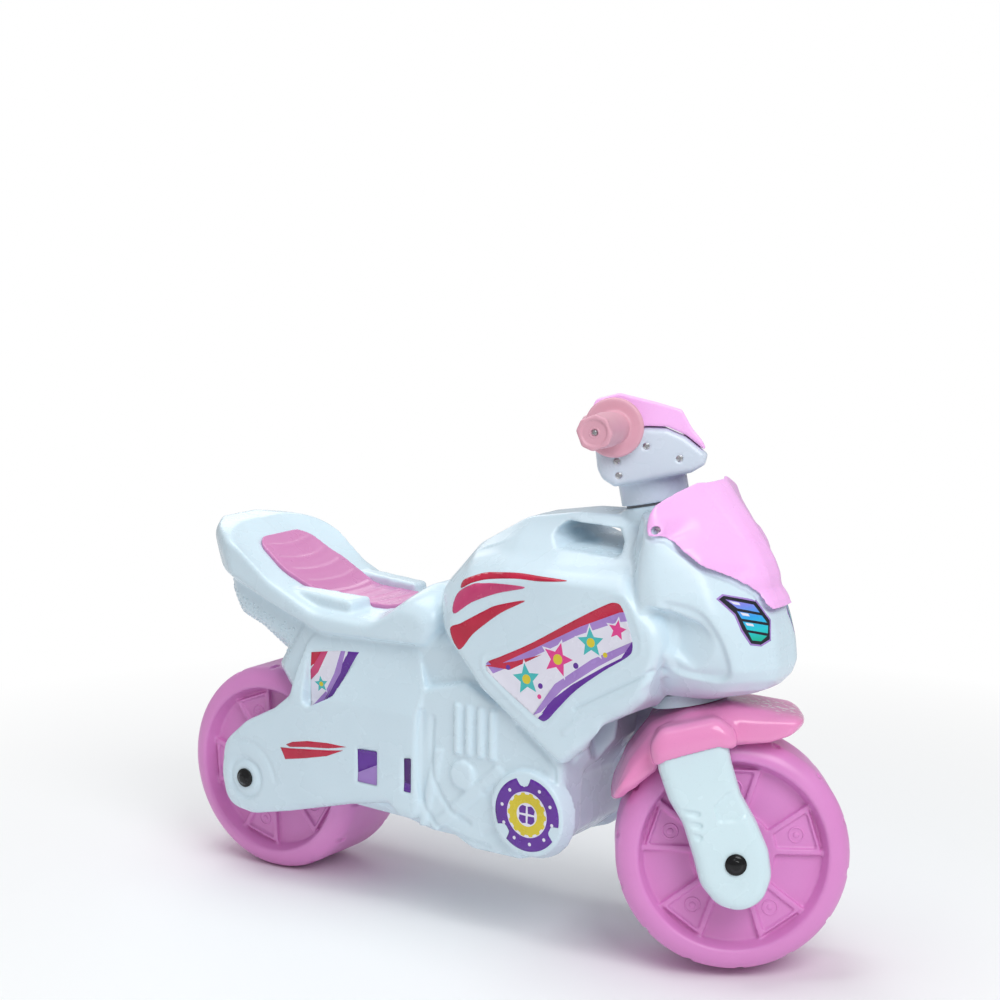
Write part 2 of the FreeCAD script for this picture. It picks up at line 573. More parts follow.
CORE_SHARES = [
    (0.00, 0.68, 0.03), (0.10, 1.00, 0.05), (0.57, 1.00, 0.05), (0.94, 0.88, 0.05), (1.01, 0.69, 0.07),
    (0.89, 0.38, 0.07), (0.89, 0.14, 0.06), (0.83, 0.04, 0.09), (0.70, 0.00, 0.06), (0.50, 0.00, 0.06),
    (0.42, 0.03, 0.05), (0.25, 0.04, 0.03),
]
CORE_BOX = (dim.core_rear, dim.core_floor, dim.core_length, dim.core_height)
ENGINE_SHARES = [
    (0.03, 0.15, 0.05), (0.03, 0.88, 0.05), (0.33, 0.97, 0.08), (0.72, 0.82, 0.08), (0.95, 0.68, 0.12),
    (0.93, 0.44, 0.10), (0.93, 0.22, 0.10), (0.84, 0.09, 0.12), (0.68, 0.03, 0.10), (0.39, 0.03, 0.08),
    (0.22, 0.10, 0.08), (0.08, 0.09, 0.05),
]
ENGINE_BOX = (dim.engine_rear, dim.engine_floor, dim.engine_length, dim.engine_height)
# Upper rear, upper front, lower front and lower rear corner of each moulded pipe on the engine's side
ENGINE_BAR_SHARES = [
    [(0.16, 0.56, 0.01), (0.21, 0.57, 0.01), (0.10, 0.11, 0.01), (0.06, 0.11, 0.01)],
    [(0.55, 0.54, 0.01), (0.60, 0.50, 0.01), (0.18, 0.10, 0.01), (0.13, 0.12, 0.01)],
    [(0.40, 0.40, 0.01), (0.44, 0.36, 0.01), (0.25, 0.18, 0.01), (0.21, 0.20, 0.01)],
]


def engine_core():
    """The engine block and belly between tank and floor, its lower edges well rounded."""
    half = dim.core_width / 2
    wires = [side_wire(CORE_SHARES, CORE_BOX, across, inset)
             for across, inset in edge_steps(half / 2, half, dim.core_edge)]
    wires = [side_wire(CORE_SHARES, CORE_BOX, -across, inset)
             for across, inset in reversed(edge_steps(half / 2, half, dim.core_edge))] + wires
    return straight_stack(wires)


def engine_side():
    """The left engine side: cover plate, clutch cover, small round cover, cooling fins and pipes."""
    face = dim.engine_width / 2
    plate = slab(ENGINE_SHARES, ENGINE_BOX, face / 2, face, dim.arm_edge, 1)
    clutch_face = dim.clutch_width / 2
    clutch = Part.makeCone(
        dim.clutch_foot_radius, dim.clutch_radius, clutch_face - face + dim.arm_edge,
        Vector(dim.clutch_ahead, face - dim.arm_edge, dim.clutch_up), Vector(0, 1, 0),
    )
    boss = cylinder_across(
        dim.boss_radius, dim.boss_ahead, dim.boss_up, face - dim.overrun, face + dim.fin_rise,
    )
    pieces = [clutch, boss]
    for i in range(int(dim.fin_count)):
        corner = Vector(dim.fin_ahead + i * dim.fin_pitch, face - dim.fin_rise, dim.fin_floor)
        pieces.append(Part.makeBox(dim.fin_length, 2 * dim.fin_rise, dim.fin_height, corner))
    for bar in ENGINE_BAR_SHARES:
        pieces.append(plain_prism(bar, ENGINE_BOX, face - dim.fin_rise, face + dim.pipe_rise))
    return plate.fuse(pieces)


ARM_SHARES = [
    (0.01, 0.20, 0.12), (0.03, 0.36, 0.12), (0.14, 0.48, 0.10), (0.28, 0.57, 0.08), (0.36, 0.65, 0.08),
    (0.42, 0.90, 0.08), (0.48, 0.98, 0.04), (0.92, 0.99, 0.04), (0.98, 0.81, 0.06), (0.98, 0.18, 0.06),
    (0.88, 0.18, 0.04), (0.83, 0.23, 0.06), (0.64, 0.18, 0.08), (0.35, 0.08, 0.08), (0.18, 0.03, 0.12),
    (0.05, 0.05, 0.12),
]
ARM_BOX = (-dim.arm_rear, dim.arm_floor, dim.arm_length, dim.arm_height)
ARM_WINDOW_SHARES = [
    [(0.69, 0.30, 0.01), (0.69, 0.47, 0.01), (0.79, 0.48, 0.01), (0.79, 0.30, 0.01)],
    [(0.90, 0.30, 0.01), (0.90, 0.47, 0.01), (0.945, 0.48, 0.01), (0.945, 0.30, 0.01)],
]
ARM_FIELD_SHARES = [(0.435, 0.60, 0.03), (0.435, 0.875, 0.03), (0.685, 0.92, 0.03), (0.57, 0.68, 0.03)]


def rear_arm():
    """The left rear arm: round about the axle, a strut up to the seat and a plate on to the engine."""
    inner = dim.wheel_width / 2 + dim.wheel_side_gap
    outer = inner + dim.arm_thickness
    arm = slab(ARM_SHARES, ARM_BOX, inner, outer, dim.arm_edge, 1)
    left, floor, length, height = ARM_BOX
    top = floor + height
    lean = Part.makePolygon([
        Vector(left, outer, dim.arm_lean_floor), Vector(left, outer - dim.arm_lean, top),
        Vector(left, outer + dim.arm_lean, top), Vector(left, outer + dim.arm_lean, dim.arm_lean_floor),
        Vector(left, outer, dim.arm_lean_floor),
    ])
    wedge = Part.Face(lean).extrude(Vector(length, 0, 0))
    field_floor = outer - dim.arm_recess - dim.arm_lean / 2
    field = plain_prism(ARM_FIELD_SHARES, ARM_BOX, field_floor, outer + dim.arm_lean)
    depth, up = dim.ring_depth, dim.wheel_radius
    outside = cylinder_across(dim.ring_radius, 0, up, outer - depth, outer + depth)
    inside = cylinder_across(dim.ring_radius - dim.ring_width, 0, up, outer - 2 * depth, outer + 2 * depth)
    ring = outside.cut(inside)
    bore = cylinder_across(dim.axle_radius + dim.running_gap, 0, dim.wheel_radius, 0, 2 * outer)
    windows = [plain_prism(shares, ARM_BOX, outer - dim.window_depth, outer + dim.window_depth)
               for shares in ARM_WINDOW_SHARES]
    return arm.cut([wedge, field, ring, bore] + windows)


# Height, then nose, mask, cheek, back and rear corners as shares of the length and of the half width
HEAD_LEVEL_SHARES = [
    (0.00, [(0.65, 0.16), (0.53, 0.39), (0.28, 0.48), (0.10, 0.46), (0.00, 0.40)]),
    (0.08, [(0.88, 0.18), (0.70, 0.53), (0.39, 0.62), (0.12, 0.57), (0.00, 0.46)]),
    (0.22, [(0.98, 0.21), (0.85, 0.63), (0.49, 0.80), (0.20, 0.76), (0.00, 0.52)]),
    (0.38, [(0.96, 0.21), (0.80, 0.69), (0.44, 0.92), (0.22, 0.90), (0.00, 0.57)]),
    (0.53, [(0.91, 0.18), (0.73, 0.74), (0.40, 0.99), (0.24, 0.98), (0.00, 0.57)]),
    (0.69, [(0.89, 0.16), (0.65, 0.71), (0.34, 1.00), (0.24, 0.99), (0.02, 0.57)]),
    (0.84, [(0.80, 0.14), (0.55, 0.67), (0.32, 0.97), (0.24, 0.95), (0.05, 0.55)]),
    (1.00, [(0.66, 0.12), (0.44, 0.60), (0.30, 0.90), (0.24, 0.88), (0.08, 0.50)]),
    (1.20, [(0.44, 0.11), (0.30, 0.50), (0.22, 0.80), (0.18, 0.80), (0.10, 0.50)]),
]
HEAD_CORNER_SHARES = [0.24, 0.34, 0.34, 0.12, 0.20]
SCOOP_SHARES = [
    (0.26, 0.57, 0.08), (0.64, 0.50, 0.08), (0.87, 0.30, 0.08), (0.80, 0.16, 0.06), (0.60, 0.13, 0.08),
    (0.27, 0.36, 0.08),
]
# Depth below the cheek's face and inset of the outline, as shares of the scoop's depth
SCOOP_LEVEL_SHARES = [(-0.5, -0.25), (0.5, 0.1), (0.85, 0.25), (1.0, 0.4)]
HEAD_BOX = (dim.head_rear, dim.head_floor, dim.head_length, dim.head_height)


def head_form(grow):
    """The head fairing through its level outlines, all pushed outward by grow."""
    left, floor, length, height = HEAD_BOX
    half = dim.head_width / 2
    radii = [share * half for share in HEAD_CORNER_SHARES]
    wires = []
    for level, corners in eased_form(HEAD_LEVEL_SHARES, EASE_STEPS):
        right = [(left + x * length, -y * half) for x, y in corners]
        around = right + [(x, -y) for x, y in reversed(right)]
        around = inset_corners(around, -grow) if grow else around
        points = [Vector(x, y, floor + level * height) for x, y in around]
        wires.append(rounded_wire(points, radii + radii[::-1]))
    return straight_stack(wires)


def head_fairing():
    """The white head fairing with a hollow under each cheek. Its top lies under the windshield."""
    form = head_form(0.0)
    left, floor, length, height = HEAD_BOX
    corner = Vector(left - length / 2, -dim.head_width, dim.head_top)
    lid = Part.makeBox(2 * length, 2 * dim.head_width, height, corner)
    half = dim.head_width / 2
    scoop = straight_stack([
        side_wire(SCOOP_SHARES, HEAD_BOX, half - sink * dim.scoop_depth, inset * dim.scoop_depth)
        for sink, inset in SCOOP_LEVEL_SHARES
    ])
    return form.cut([lid, scoop, mirrored(scoop)] + [screw_hole(place) for place in shield_screw_places()])


SHIELD_SHARES = [
    (0.90, 0.02, 0.03), (1.05, 0.10, 0.03), (1.05, 0.76, 0.03), (0.45, 1.04, 0.03), (0.21, 0.96, 0.03),
    (0.05, 0.80, 0.04), (0.02, 0.68, 0.04), (0.03, 0.59, 0.03), (0.22, 0.60, 0.06), (0.29, 0.47, 0.10),
    (0.45, 0.375, 0.10), (0.70, 0.29, 0.10), (0.83, 0.20, 0.06), (0.85, 0.10, 0.05),
]
SHIELD_BOX = (dim.shield_rear, dim.shield_floor, dim.shield_length, dim.shield_height)


def windshield():
    """The pink windshield: a shell on the fairing's form, trimmed to its side outline."""
    shell = head_form(dim.shield_wall + dim.seat_gap).cut(head_form(dim.seat_gap))
    trim = plain_prism(SHIELD_SHARES, SHIELD_BOX, -dim.head_width, dim.head_width)
    return shell.common(trim).cut([screw_hole(place) for place in shield_screw_places()])


def steering_space():
    """The free space under the chin in which fork crown and fender turn."""
    height = dim.swing_top - dim.swing_bottom
    low, high = Vector(0, 0, dim.swing_bottom), Vector(0, 0, dim.neck_bottom)
    up = Vector(0, 0, 1)
    side = Part.makeCylinder(dim.swing_radius, height, low, up, dim.swing_side_angle)
    left = placed(side, Placement(Vector(0, 0, 0), Rotation(up, dim.swing_half_angle)))
    ahead = Part.makeCylinder(dim.swing_front_radius, height, low, up, 2 * dim.swing_half_angle)
    ahead = placed(ahead, Placement(Vector(0, 0, 0), Rotation(up, -dim.swing_half_angle)))
    slope = dim.swing_radius - dim.swing_rear_radius
    rear = Part.makeCone(dim.swing_radius, dim.swing_rear_radius - slope / 2, height, low)
    room = dim.collar_foot_radius + dim.swing_top - dim.collar_bottom
    middle = Part.makeCylinder(room, height, high - Vector(0, 0, height))
    return placed(left.fuse([mirrored(left), ahead, rear, middle]), IN_CHASSIS)


def main_body(seat):
    neck = Part.makeCylinder(dim.neck_radius, dim.neck_top - dim.neck_bottom, Vector(0, 0, dim.neck_bottom))
    neck = placed(neck, IN_CHASSIS)
    side = engine_side()
    body = tank().fuse([seat, lower_tail(), engine_core(), head_fairing(), neck, side, mirrored(side)])
    inner = dim.wheel_width / 2 + dim.wheel_side_gap
    well = cylinder_across(dim.wheel_radius + dim.wheel_well_gap, 0, dim.wheel_radius, -inner, inner)
    bed = seat.copy()
    bed.translate(Vector(0, 0, -dim.pad_sink))
    stem_bore = Part.makeCylinder(dim.stem_radius + dim.running_gap + dim.bush_wall, 2 * dim.neck_top)
    body = body.cut([well, pad_column(0.0).cut(bed), steering_space(), placed(stem_bore, IN_CHASSIS)])
    arm = rear_arm()
    return body.fuse([arm, mirrored(arm)])


# Fork and fender, drawn with the steering straight ahead

LEG_SHARES = [
    (0.04, 0.99, 0.04), (0.02, 0.81, 0.10), (0.07, 0.65, 0.20), (0.17, 0.52, 0.20), (0.22, 0.33, 0.20),
    (0.24, 0.19, 0.16), (0.37, 0.07, 0.14), (0.60, 0.01, 0.16), (0.84, 0.05, 0.14), (0.97, 0.17, 0.14),
    (0.98, 0.31, 0.16), (0.91, 0.46, 0.20), (0.80, 0.62, 0.25), (0.76, 0.80, 0.20), (0.76, 0.99, 0.04),
]
LEG_BOX = (-dim.leg_rear, -dim.leg_drop, dim.leg_length, dim.leg_height)
LEG_GROOVE_SHARES = [
    [(-0.05, 0.64, 0.01), (0.33, 0.58, 0.01), (0.385, 0.56, 0.01), (0.33, 0.545, 0.01), (-0.05, 0.60, 0.01)],
    [(0.00, 0.57, 0.01), (0.33, 0.52, 0.01), (0.38, 0.50, 0.01), (0.33, 0.48, 0.01), (0.00, 0.53, 0.01)],
    [(0.05, 0.50, 0.01), (0.31, 0.46, 0.01), (0.36, 0.44, 0.01), (0.31, 0.42, 0.01), (0.05, 0.46, 0.01)],
    [(0.95, 0.69, 0.01), (0.66, 0.65, 0.02), (0.51, 0.59, 0.02), (0.53, 0.50, 0.02), (0.70, 0.495, 0.02),
     (0.97, 0.55, 0.01)],
]
CROWN_SHARES = [(0.00, 0.00, 0.20), (0.00, 1.00, 0.40), (1.00, 1.00, 0.40), (1.00, 0.00, 0.20)]
CROWN_BOX = (-dim.crown_rear, dim.crown_bottom, dim.crown_length, dim.crown_height)


def fork_form(grow):
    """Both legs and the crown, pushed outward by grow."""
    inner = dim.wheel_width / 2 + dim.wheel_side_gap
    outer = inner + dim.arm_thickness
    leg = slab(LEG_SHARES, LEG_BOX, inner, outer + grow, dim.leg_edge, 1, grow)
    reach = inner + dim.overrun
    crown = plain_prism(CROWN_SHARES, CROWN_BOX, -reach, reach, -grow)
    return leg.fuse([mirrored(leg), crown])


def fork():
    """The fork, with grooves behind and a hollow in front on each leg's outer face."""
    outer = dim.wheel_width / 2 + dim.wheel_side_gap + dim.arm_thickness
    bore = cylinder_across(dim.axle_radius + dim.running_gap, dim.fork_offset, 0, -2 * outer, 2 * outer)
    foot = Vector(0, 0, dim.crown_bottom + dim.stem_socket_floor)
    socket = Part.makeCylinder(dim.stem_radius, 2 * dim.crown_height, foot)
    grooves = [plain_prism(shares, LEG_BOX, outer - dim.groove_depth, outer + dim.groove_depth)
               for shares in LEG_GROOVE_SHARES]
    grooves += [mirrored(groove) for groove in grooves]
    holes = [screw_hole(place) for place in fender_screw_places()]
    return fork_form(0.0).cut([bore, socket] + grooves + holes)


FENDER_MIDDLE_SHARES = [
    (0.02, 0.09, 0.03), (0.13, 0.56, 0.20), (0.26, 0.86, 0.20), (0.44, 1.00, 0.20), (0.64, 1.00, 0.20),
    (0.79, 0.87, 0.20), (0.93, 0.75, 0.10), (0.985, 0.65, 0.05), (0.93, 0.56, 0.05), (0.78, 0.48, 0.20),
    (0.55, 0.45, 0.20), (0.30, 0.40, 0.20), (0.12, 0.08, 0.05),
]
FENDER_HAUNCH_SHARES = [
    (0.03, 0.14, 0.03), (0.14, 0.54, 0.20), (0.27, 0.82, 0.20), (0.44, 0.96, 0.20), (0.64, 0.96, 0.20),
    (0.78, 0.86, 0.20), (0.92, 0.74, 0.10), (0.97, 0.67, 0.05), (0.91, 0.56, 0.05), (0.78, 0.50, 0.20),
    (0.57, 0.50, 0.20), (0.30, 0.44, 0.20), (0.13, 0.18, 0.05),
]
FENDER_SKIRT_SHARES = [
    (0.06, 0.27, 0.03), (0.16, 0.48, 0.15), (0.28, 0.70, 0.20), (0.44, 0.81, 0.20), (0.64, 0.81, 0.20),
    (0.77, 0.75, 0.15), (0.90, 0.71, 0.06), (0.93, 0.68, 0.03), (0.87, 0.55, 0.05), (0.78, 0.52, 0.20),
    (0.60, 0.60, 0.20), (0.30, 0.50, 0.20), (0.14, 0.30, 0.10),
]
FENDER_FORM_SHARES = [(0.30, FENDER_MIDDLE_SHARES), (0.78, FENDER_HAUNCH_SHARES), (1.0, FENDER_SKIRT_SHARES)]
FENDER_BOX = (-dim.fender_rear, dim.fender_bottom, dim.fender_length, dim.fender_height)
SHOULDER_SHARES = [
    (0.02, 0.05, 0.15), (0.02, 0.55, 0.30), (0.16, 0.93, 0.30), (0.80, 1.00, 0.30), (0.97, 0.60, 0.30),
    (0.97, 0.20, 0.15), (0.50, 0.14, 0.20),
]
SHOULDER_BOX = (-dim.shoulder_rear, dim.shoulder_bottom, dim.shoulder_length, dim.shoulder_height)


def front_fender():
    """The pink fender over the wheel. Its shoulders close over the tops of the fork legs."""
    form = mirrored_stack(FENDER_FORM_SHARES, FENDER_BOX, dim.fender_width)
    inner = dim.wheel_width / 2
    shoulder = slab(SHOULDER_SHARES, SHOULDER_BOX, inner, dim.shoulder_reach, dim.shoulder_edge, 1)
    span = inner + dim.wheel_side_gap
    wheel = cylinder_across(dim.wheel_radius + dim.fender_wheel_gap, dim.fork_offset, 0, -span, span)
    hole = Part.makeCylinder(dim.stem_radius + dim.seat_gap, 2 * dim.collar_bottom)
    cuts = [wheel, fork_form(dim.seat_gap), hole] + [screw_hole(place) for place in fender_screw_places()]
    return form.fuse([shoulder, mirrored(shoulder)]).cut(cuts)


# Handlebar head

BAR_HEAD_SHARES = [
    (0.13, 0.01, 0.04), (0.80, 0.02, 0.04), (0.93, 0.08, 0.05), (0.97, 0.19, 0.04), (0.81, 0.41, 0.10),
    (0.66, 0.53, 0.05), (0.50, 0.57, 0.05), (0.03, 0.60, 0.02), (0.01, 0.22, 0.10), (0.04, 0.11, 0.08),
]
DASH_SHARES = [
    (0.97, 0.20, 0.02), (0.94, 0.33, 0.05), (0.87, 0.48, 0.05), (0.81, 0.69, 0.05), (0.61, 0.81, 0.10),
    (0.31, 0.97, 0.06), (0.10, 0.95, 0.08), (0.00, 0.76, 0.06), (0.03, 0.61, 0.02), (0.50, 0.58, 0.05),
    (0.66, 0.54, 0.05), (0.81, 0.42, 0.10),
]
BAR_HEAD_BOX = (-dim.bar_head_rear, dim.bar_head_bottom, dim.bar_head_length, dim.bar_head_height)


def bar_solid(radius, half_length):
    """A round bar along the swept handlebar, bent in its middle."""
    sweep = math.radians(dim.bar_sweep)
    setback = dim.bar_bend_radius * math.tan(sweep)
    middle = Vector(-dim.bar_rear, 0, dim.bar_height)
    left_way = Vector(-math.sin(sweep), math.cos(sweep), 0)
    right_way = Vector(-math.sin(sweep), -math.cos(sweep), 0)
    dip = dim.bar_bend_radius / math.cos(sweep) - dim.bar_bend_radius
    right_end, right_bend = middle + right_way * half_length, middle + right_way * setback
    left_end, left_bend = middle + left_way * half_length, middle + left_way * setback
    path = Part.Wire([
        Part.LineSegment(right_end, right_bend).toShape(),
        Part.Arc(right_bend, middle - Vector(dip, 0, 0), left_bend).toShape(),
        Part.LineSegment(left_bend, left_end).toShape(),
    ])
    section = Part.Wire(Part.makeCircle(radius, right_end, right_way))
    return path.makePipeShell([section], True, True)


def head_block(shares, edge):
    """A block of the handlebar head with rounded sides."""
    half = dim.bar_head_half_width
    steps = edge_steps(half / 2, half, edge)
    right = [side_wire(shares, BAR_HEAD_BOX, -across, inset) for across, inset in reversed(steps)]
    left = [side_wire(shares, BAR_HEAD_BOX, across, inset) for across, inset in steps]
    return straight_stack(right + left)


def bar_channel():
    return bar_solid(dim.bar_radius + dim.running_gap, dim.bar_half_length)


def handlebar_head():
    """The white head on its round column, with a bore for the steering tube and a channel for the bar."""
    column_height = dim.bar_head_bottom + dim.bar_head_edge - dim.column_bottom
    column = Part.makeCylinder(dim.neck_radius, column_height, Vector(0, 0, dim.column_bottom))
    bore_floor = dim.column_bottom - dim.overrun
    bore = Part.makeCylinder(dim.stem_radius, dim.stem_top - bore_floor, Vector(0, 0, bore_floor))
    stem_top = Vector(0, 0, dim.stem_top)
    pocket = Part.makeCylinder(dim.washer_radius + dim.seat_gap, dim.bar_head_height, stem_top)
    holes = [screw_hole(place) for place in handlebar_screw_places()]
    block = head_block(BAR_HEAD_SHARES, dim.bar_head_edge).fuse(column)
    return block.cut([bore, pocket, bar_channel()] + holes)


def dash_cover():
    return head_block(DASH_SHARES, dim.dash_edge).cut(bar_channel())


def handlebar_tube():
    inside = bar_solid(dim.bar_radius - dim.bar_wall, dim.bar_half_length)
    return bar_solid(dim.bar_radius, dim.bar_half_length).cut(inside)


def bar_place(along, side):
    """A place on the swept bar, its Z running outward along the bar. side is 1 for left and -1 for right."""
    sweep = math.radians(dim.bar_sweep)
    way = Vector(-math.sin(sweep), side * math.cos(sweep), 0)
    middle = Vector(-dim.bar_rear, 0, dim.bar_height)
    return Placement(middle + way * along, Rotation(Vector(0, 0, 1), way))


# Pieces that are turned or drilled: bodies whose sketches follow the sheet

def value_of(expression):
    return float(sheet.evalExpression(expression))


def origin_plane(body, role):
    return [item for item in body.Origin.OriginFeatures if item.Role == role][0]


def bound_sketch(body, name, role, corners, lift=None):
    """A closed sketch. Every corner follows its two expressions of the sheet's sizes."""
    sketch = body.newObject("Sketcher::SketchObject", name)
    sketch.AttachmentSupport = [(origin_plane(body, role), "")]
    sketch.MapMode = "FlatFace"
    if lift:
        sketch.setExpression("AttachmentOffset.Base.z", lift)
    points = [Vector(value_of(x), value_of(y), 0) for x, y in corners]
    count = len(points)
    for i in range(count):
        sketch.addGeometry(Part.LineSegment(points[i], points[(i + 1) % count]))
    for i in range(count):
        sketch.addConstraint(Sketcher.Constraint("Coincident", i, 2, (i + 1) % count, 1))
    for i, (x, y) in enumerate(corners):
        both = ("DistanceX", -2, x, points[i].x), ("DistanceY", -1, y, points[i].y)
        for kind, axis, text, value in both:
            if text == "0":
                sketch.addConstraint(Sketcher.Constraint("PointOnObject", i, 1, axis))
            else:
                number = sketch.addConstraint(Sketcher.Constraint(kind, -1, 1, i, 1, value))
                sketch.setExpression(f"Constraints[{number}]", text)
    return sketch


def turned_body(name, corners):
    """A body of revolution about Z. Corners are (radius, height) expressions."""
    body = doc.addObject("PartDesign::Body", name)
    profile = bound_sketch(body, name + "_profile", "XZ_Plane", corners)
    turn = body.newObject("PartDesign::Revolution", name + "_turn")
    turn.Profile = profile
    turn.ReferenceAxis = (profile, ["V_Axis"])
    turn.Angle = 360
    doc.recompute()
    return body


def round_edges(body, name, expression, chosen):
    """Rounds the edges that the test picks on the body's tip."""
    base = body.Tip
    names = [f"Edge{i}" for i, edge in enumerate(base.Shape.Edges, start=1) if chosen(edge)]
    fillet = body.newObject("PartDesign::Fillet", name)
    fillet.Base = (base, names)
    fillet.setExpression("Radius", expression)
    doc.recompute()


def is_ring(edge, radius, height):
    """True for a full circle of this radius about Z, at this height above or below the middle."""
    return (
        hasattr(edge.Curve, "Radius") and abs(edge.Curve.Radius - radius) < dim.running_gap
        and abs(abs(edge.Curve.Center.z) - height) < dim.running_gap
    )


def wheel(name):
    """A hollow-moulded wheel: rounded tyre ring, sunken face, hub, spoke blocks and tread notches."""
    half, face = "wheel_width / 2", "(wheel_width / 2 - rim_face_inset)"
    disc, hub = f"({face} + block_rise)", "(wheel_width / 2 - hub_inset)"
    bore = "axle_radius + running_gap + bush_wall"
    upper = [
        ("wheel_radius", half), ("rim_lip_radius", half), ("rim_foot_radius", face), ("disc_radius", face),
        ("disc_radius", disc), ("hub_radius", disc), ("hub_radius", hub), (bore, hub),
    ]
    lower = [(radius, f"-{height}") for radius, height in reversed(upper)]
    body = turned_body(name, bound(upper + lower))
    side = dim.wheel_width / 2
    round_edges(
        body, name + "_shoulders", "sizes.shoulder_radius",
        lambda e: is_ring(e, dim.wheel_radius, side),
    )
    round_edges(
        body, name + "_lips", "sizes.rim_fillet",
        lambda e: is_ring(e, dim.rim_lip_radius, side) or is_ring(e, dim.hub_radius, side - dim.hub_inset),
    )
    for kind, sides in (("block", "PartDesign::Pad"), ("recess", "PartDesign::Pocket")):
        features = []
        for side, sign in (("near", ""), ("far", "-")):
            features.append(spoke_feature(body, name, kind, sides, side, sign))
        pattern_round(body, f"{name}_{kind}s", features, "sizes.block_count")
    notches = [notch(body, name, side, sign) for side, sign in (("near", ""), ("far", "-"))]
    pattern_round(body, f"{name}_notches", notches, "sizes.notch_count")
    return body


def spoke_feature(body, name, kind, feature_type, side, sign):
    """One spoke block, or the recess in it, on one side of the wheel. The sign is the side's."""
    face = "(sizes.wheel_width / 2 - sizes.rim_face_inset)"
    border = "" if kind == "block" else " - sizes.block_border"
    inner, outer = "sizes.block_inner_radius", "sizes.rim_foot_radius"
    if kind == "recess":
        inner, outer = f"({inner} + sizes.block_border)", f"({outer} - sizes.block_border / 2)"
    across = "sizes.block_half_angle"
    corners = [
        (f"{inner} * cos({across})", f"-({inner} * sin({across}){border})"),
        (f"{outer} * cos({across})", f"-({outer} * sin({across}){border})"),
        (f"{outer} * cos({across})", f"{outer} * sin({across}){border}"),
        (f"{inner} * cos({across})", f"{inner} * sin({across}){border}"),
    ]
    lift = face if kind == "block" else f"({face} + sizes.block_rise)"
    sketch = bound_sketch(body, f"{name}_{kind}_{side}_outline", "XY_Plane", corners, f"{sign}{lift}")
    feature = body.newObject(feature_type, f"{name}_{kind}_{side}")
    feature.Profile = sketch
    feature.setExpression("Length", "sizes.block_rise" if kind == "block" else "sizes.block_recess")
    feature.Reversed = (sign == "-")
    doc.recompute()
    return feature


def notch(body, name, side, sign):
    """One notch across the shoulder of the tread."""
    corners = [
        ("sizes.wheel_radius - sizes.notch_depth", "-sizes.notch_length / 2"),
        ("sizes.wheel_radius + sizes.notch_depth", "-sizes.notch_length / 2"),
        ("sizes.wheel_radius + sizes.notch_depth", "sizes.notch_length / 2"),
        ("sizes.wheel_radius - sizes.notch_depth", "sizes.notch_length / 2"),
    ]
    lift = f"{sign}(sizes.wheel_width / 2)"
    sketch = bound_sketch(body, f"{name}_notch_{side}_outline", "XY_Plane", corners, lift)
    feature = body.newObject("PartDesign::Pocket", f"{name}_notch_{side}")
    feature.Profile = sketch
    feature.setExpression("Length", "sizes.shoulder_radius + sizes.notch_reach")
    feature.Reversed = (sign == "-")
    doc.recompute()
    return feature


def pattern_round(body, name, features, count):
    pattern = body.newObject("PartDesign::PolarPattern", name)
    pattern.Originals = features
    pattern.Axis = (origin_plane(body, "Z_Axis"), [""])
    pattern.Angle = 360
    pattern.setExpression("Occurrences", count)
    body.Tip = pattern
    doc.recompute()


def bound(corners):
    """Corner expressions with the sheet's name put before each size."""
    names = sorted((alias for alias, value, note in SIZES), key=len, reverse=True)
    return [tuple(with_sheet(text, names) for text in corner) for corner in corners]


def with_sheet(text, names):
    words = []
    word = ""
    for letter in text + " ":
        if letter.isalnum() or letter == "_":
            word += letter
        else:
            words.append("sizes." + word if word in names else word)
            words.append(letter)
            word = ""
    return "".join(words).strip()


def circle_pocket(body, name, radius, lift, depth):
    """A round hole down from the height given by lift."""
    sketch = body.newObject("Sketcher::SketchObject", name + "_outline")
    sketch.AttachmentSupport = [(origin_plane(body, "XY_Plane"), "")]
    sketch.MapMode = "FlatFace"
    sketch.setExpression("AttachmentOffset.Base.z", lift)
    sketch.addGeometry(Part.Circle(Vector(0, 0, 0), Vector(0, 0, 1), value_of(radius)))
    sketch.addConstraint(Sketcher.Constraint("Coincident", 0, 3, -1, 1))
    number = sketch.addConstraint(Sketcher.Constraint("Radius", 0, value_of(radius)))
    sketch.setExpression(f"Constraints[{number}]", radius)
    pocket = body.newObject("PartDesign::Pocket", name)
    pocket.Profile = sketch
    pocket.setExpression("Length", depth)
    doc.recompute()


def wheel_bush(name):
    bore, sleeve = "axle_radius + running_gap", "axle_radius + running_gap + bush_wall"
    start, end = "wheel_width / 2 - hub_inset - bush_length", "wheel_width / 2 - hub_inset"
    rim = end + " + bush_flange_length"
    flange = "bush_flange_radius"
    return turned_body(name, bound([
        (bore, start), (sleeve, start), (sleeve, end), (flange, end), (flange, rim), (bore, rim),
    ]))


def wheel_spacer(name):
    start = "wheel_width / 2 - hub_inset + bush_flange_length + seat_gap"
    end = "wheel_width / 2 + wheel_side_gap"
    bore, outside = "axle_radius + running_gap", "spacer_radius"
    return turned_body(name, bound([(bore, start), (outside, start), (outside, end), (bore, end)]))


def axle_cap(name):
    """A pushed-on black cap with a shallow dome."""
    foot = "wheel_width / 2 + wheel_side_gap + arm_thickness"
    floor, top = foot + " + axle_overhang + seat_gap", foot + " + cap_height"
    bore = "axle_radius + running_gap"
    body = turned_body(name, bound([
        (bore, foot), ("cap_radius", foot), ("cap_radius", foot + " + cap_shoulder"),
        ("cap_crown_radius", top), ("0", top), ("0", floor), (bore, floor),
    ]))
    height = value_of(bound([(foot, foot)])[0][0])
    round_edges(
        body, name + "_dome", "sizes.cap_shoulder",
        lambda e: is_ring(e, dim.cap_radius, height + dim.cap_shoulder),
    )
    return body


